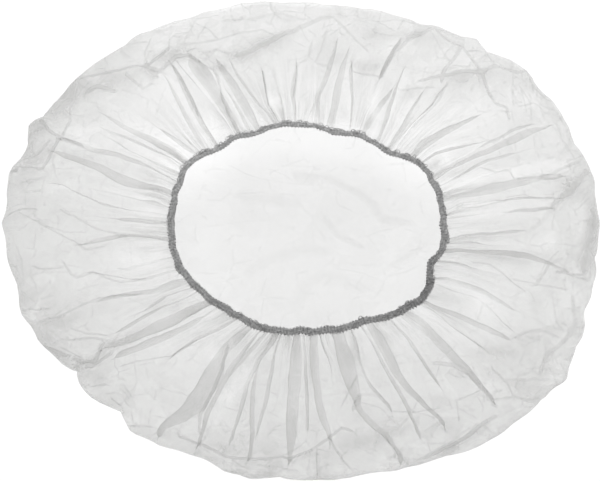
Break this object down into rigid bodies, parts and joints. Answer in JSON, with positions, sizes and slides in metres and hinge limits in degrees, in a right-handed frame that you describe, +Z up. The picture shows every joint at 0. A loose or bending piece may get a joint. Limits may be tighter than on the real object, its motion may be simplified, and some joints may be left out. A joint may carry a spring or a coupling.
{
  "type": "disposable shower cap",
  "caption": "Round cap of thin clear film with a flat crown and a pleated skirt gathered onto a grey overlocked elastic, lying open side up.",
  "frame": {"origin": "middle of the cap's outline, on the surface that the crown lies on", "axes": "+X across the cap's longest width, +Y towards its back, +Z up out of the mouth"},
  "size_m": [0.2876, 0.2716, 0.032],
  "materials": {
    "clear_film": "thin clear polyethylene film, crumpled, soft gloss",
    "grey_elastic": "grey overlock thread over elastic, matt"
  },
  "bodies": {
    "root": {"film_cap": "clear_film", "elastic_band": "grey_elastic"}
  },
  "joints": []
}
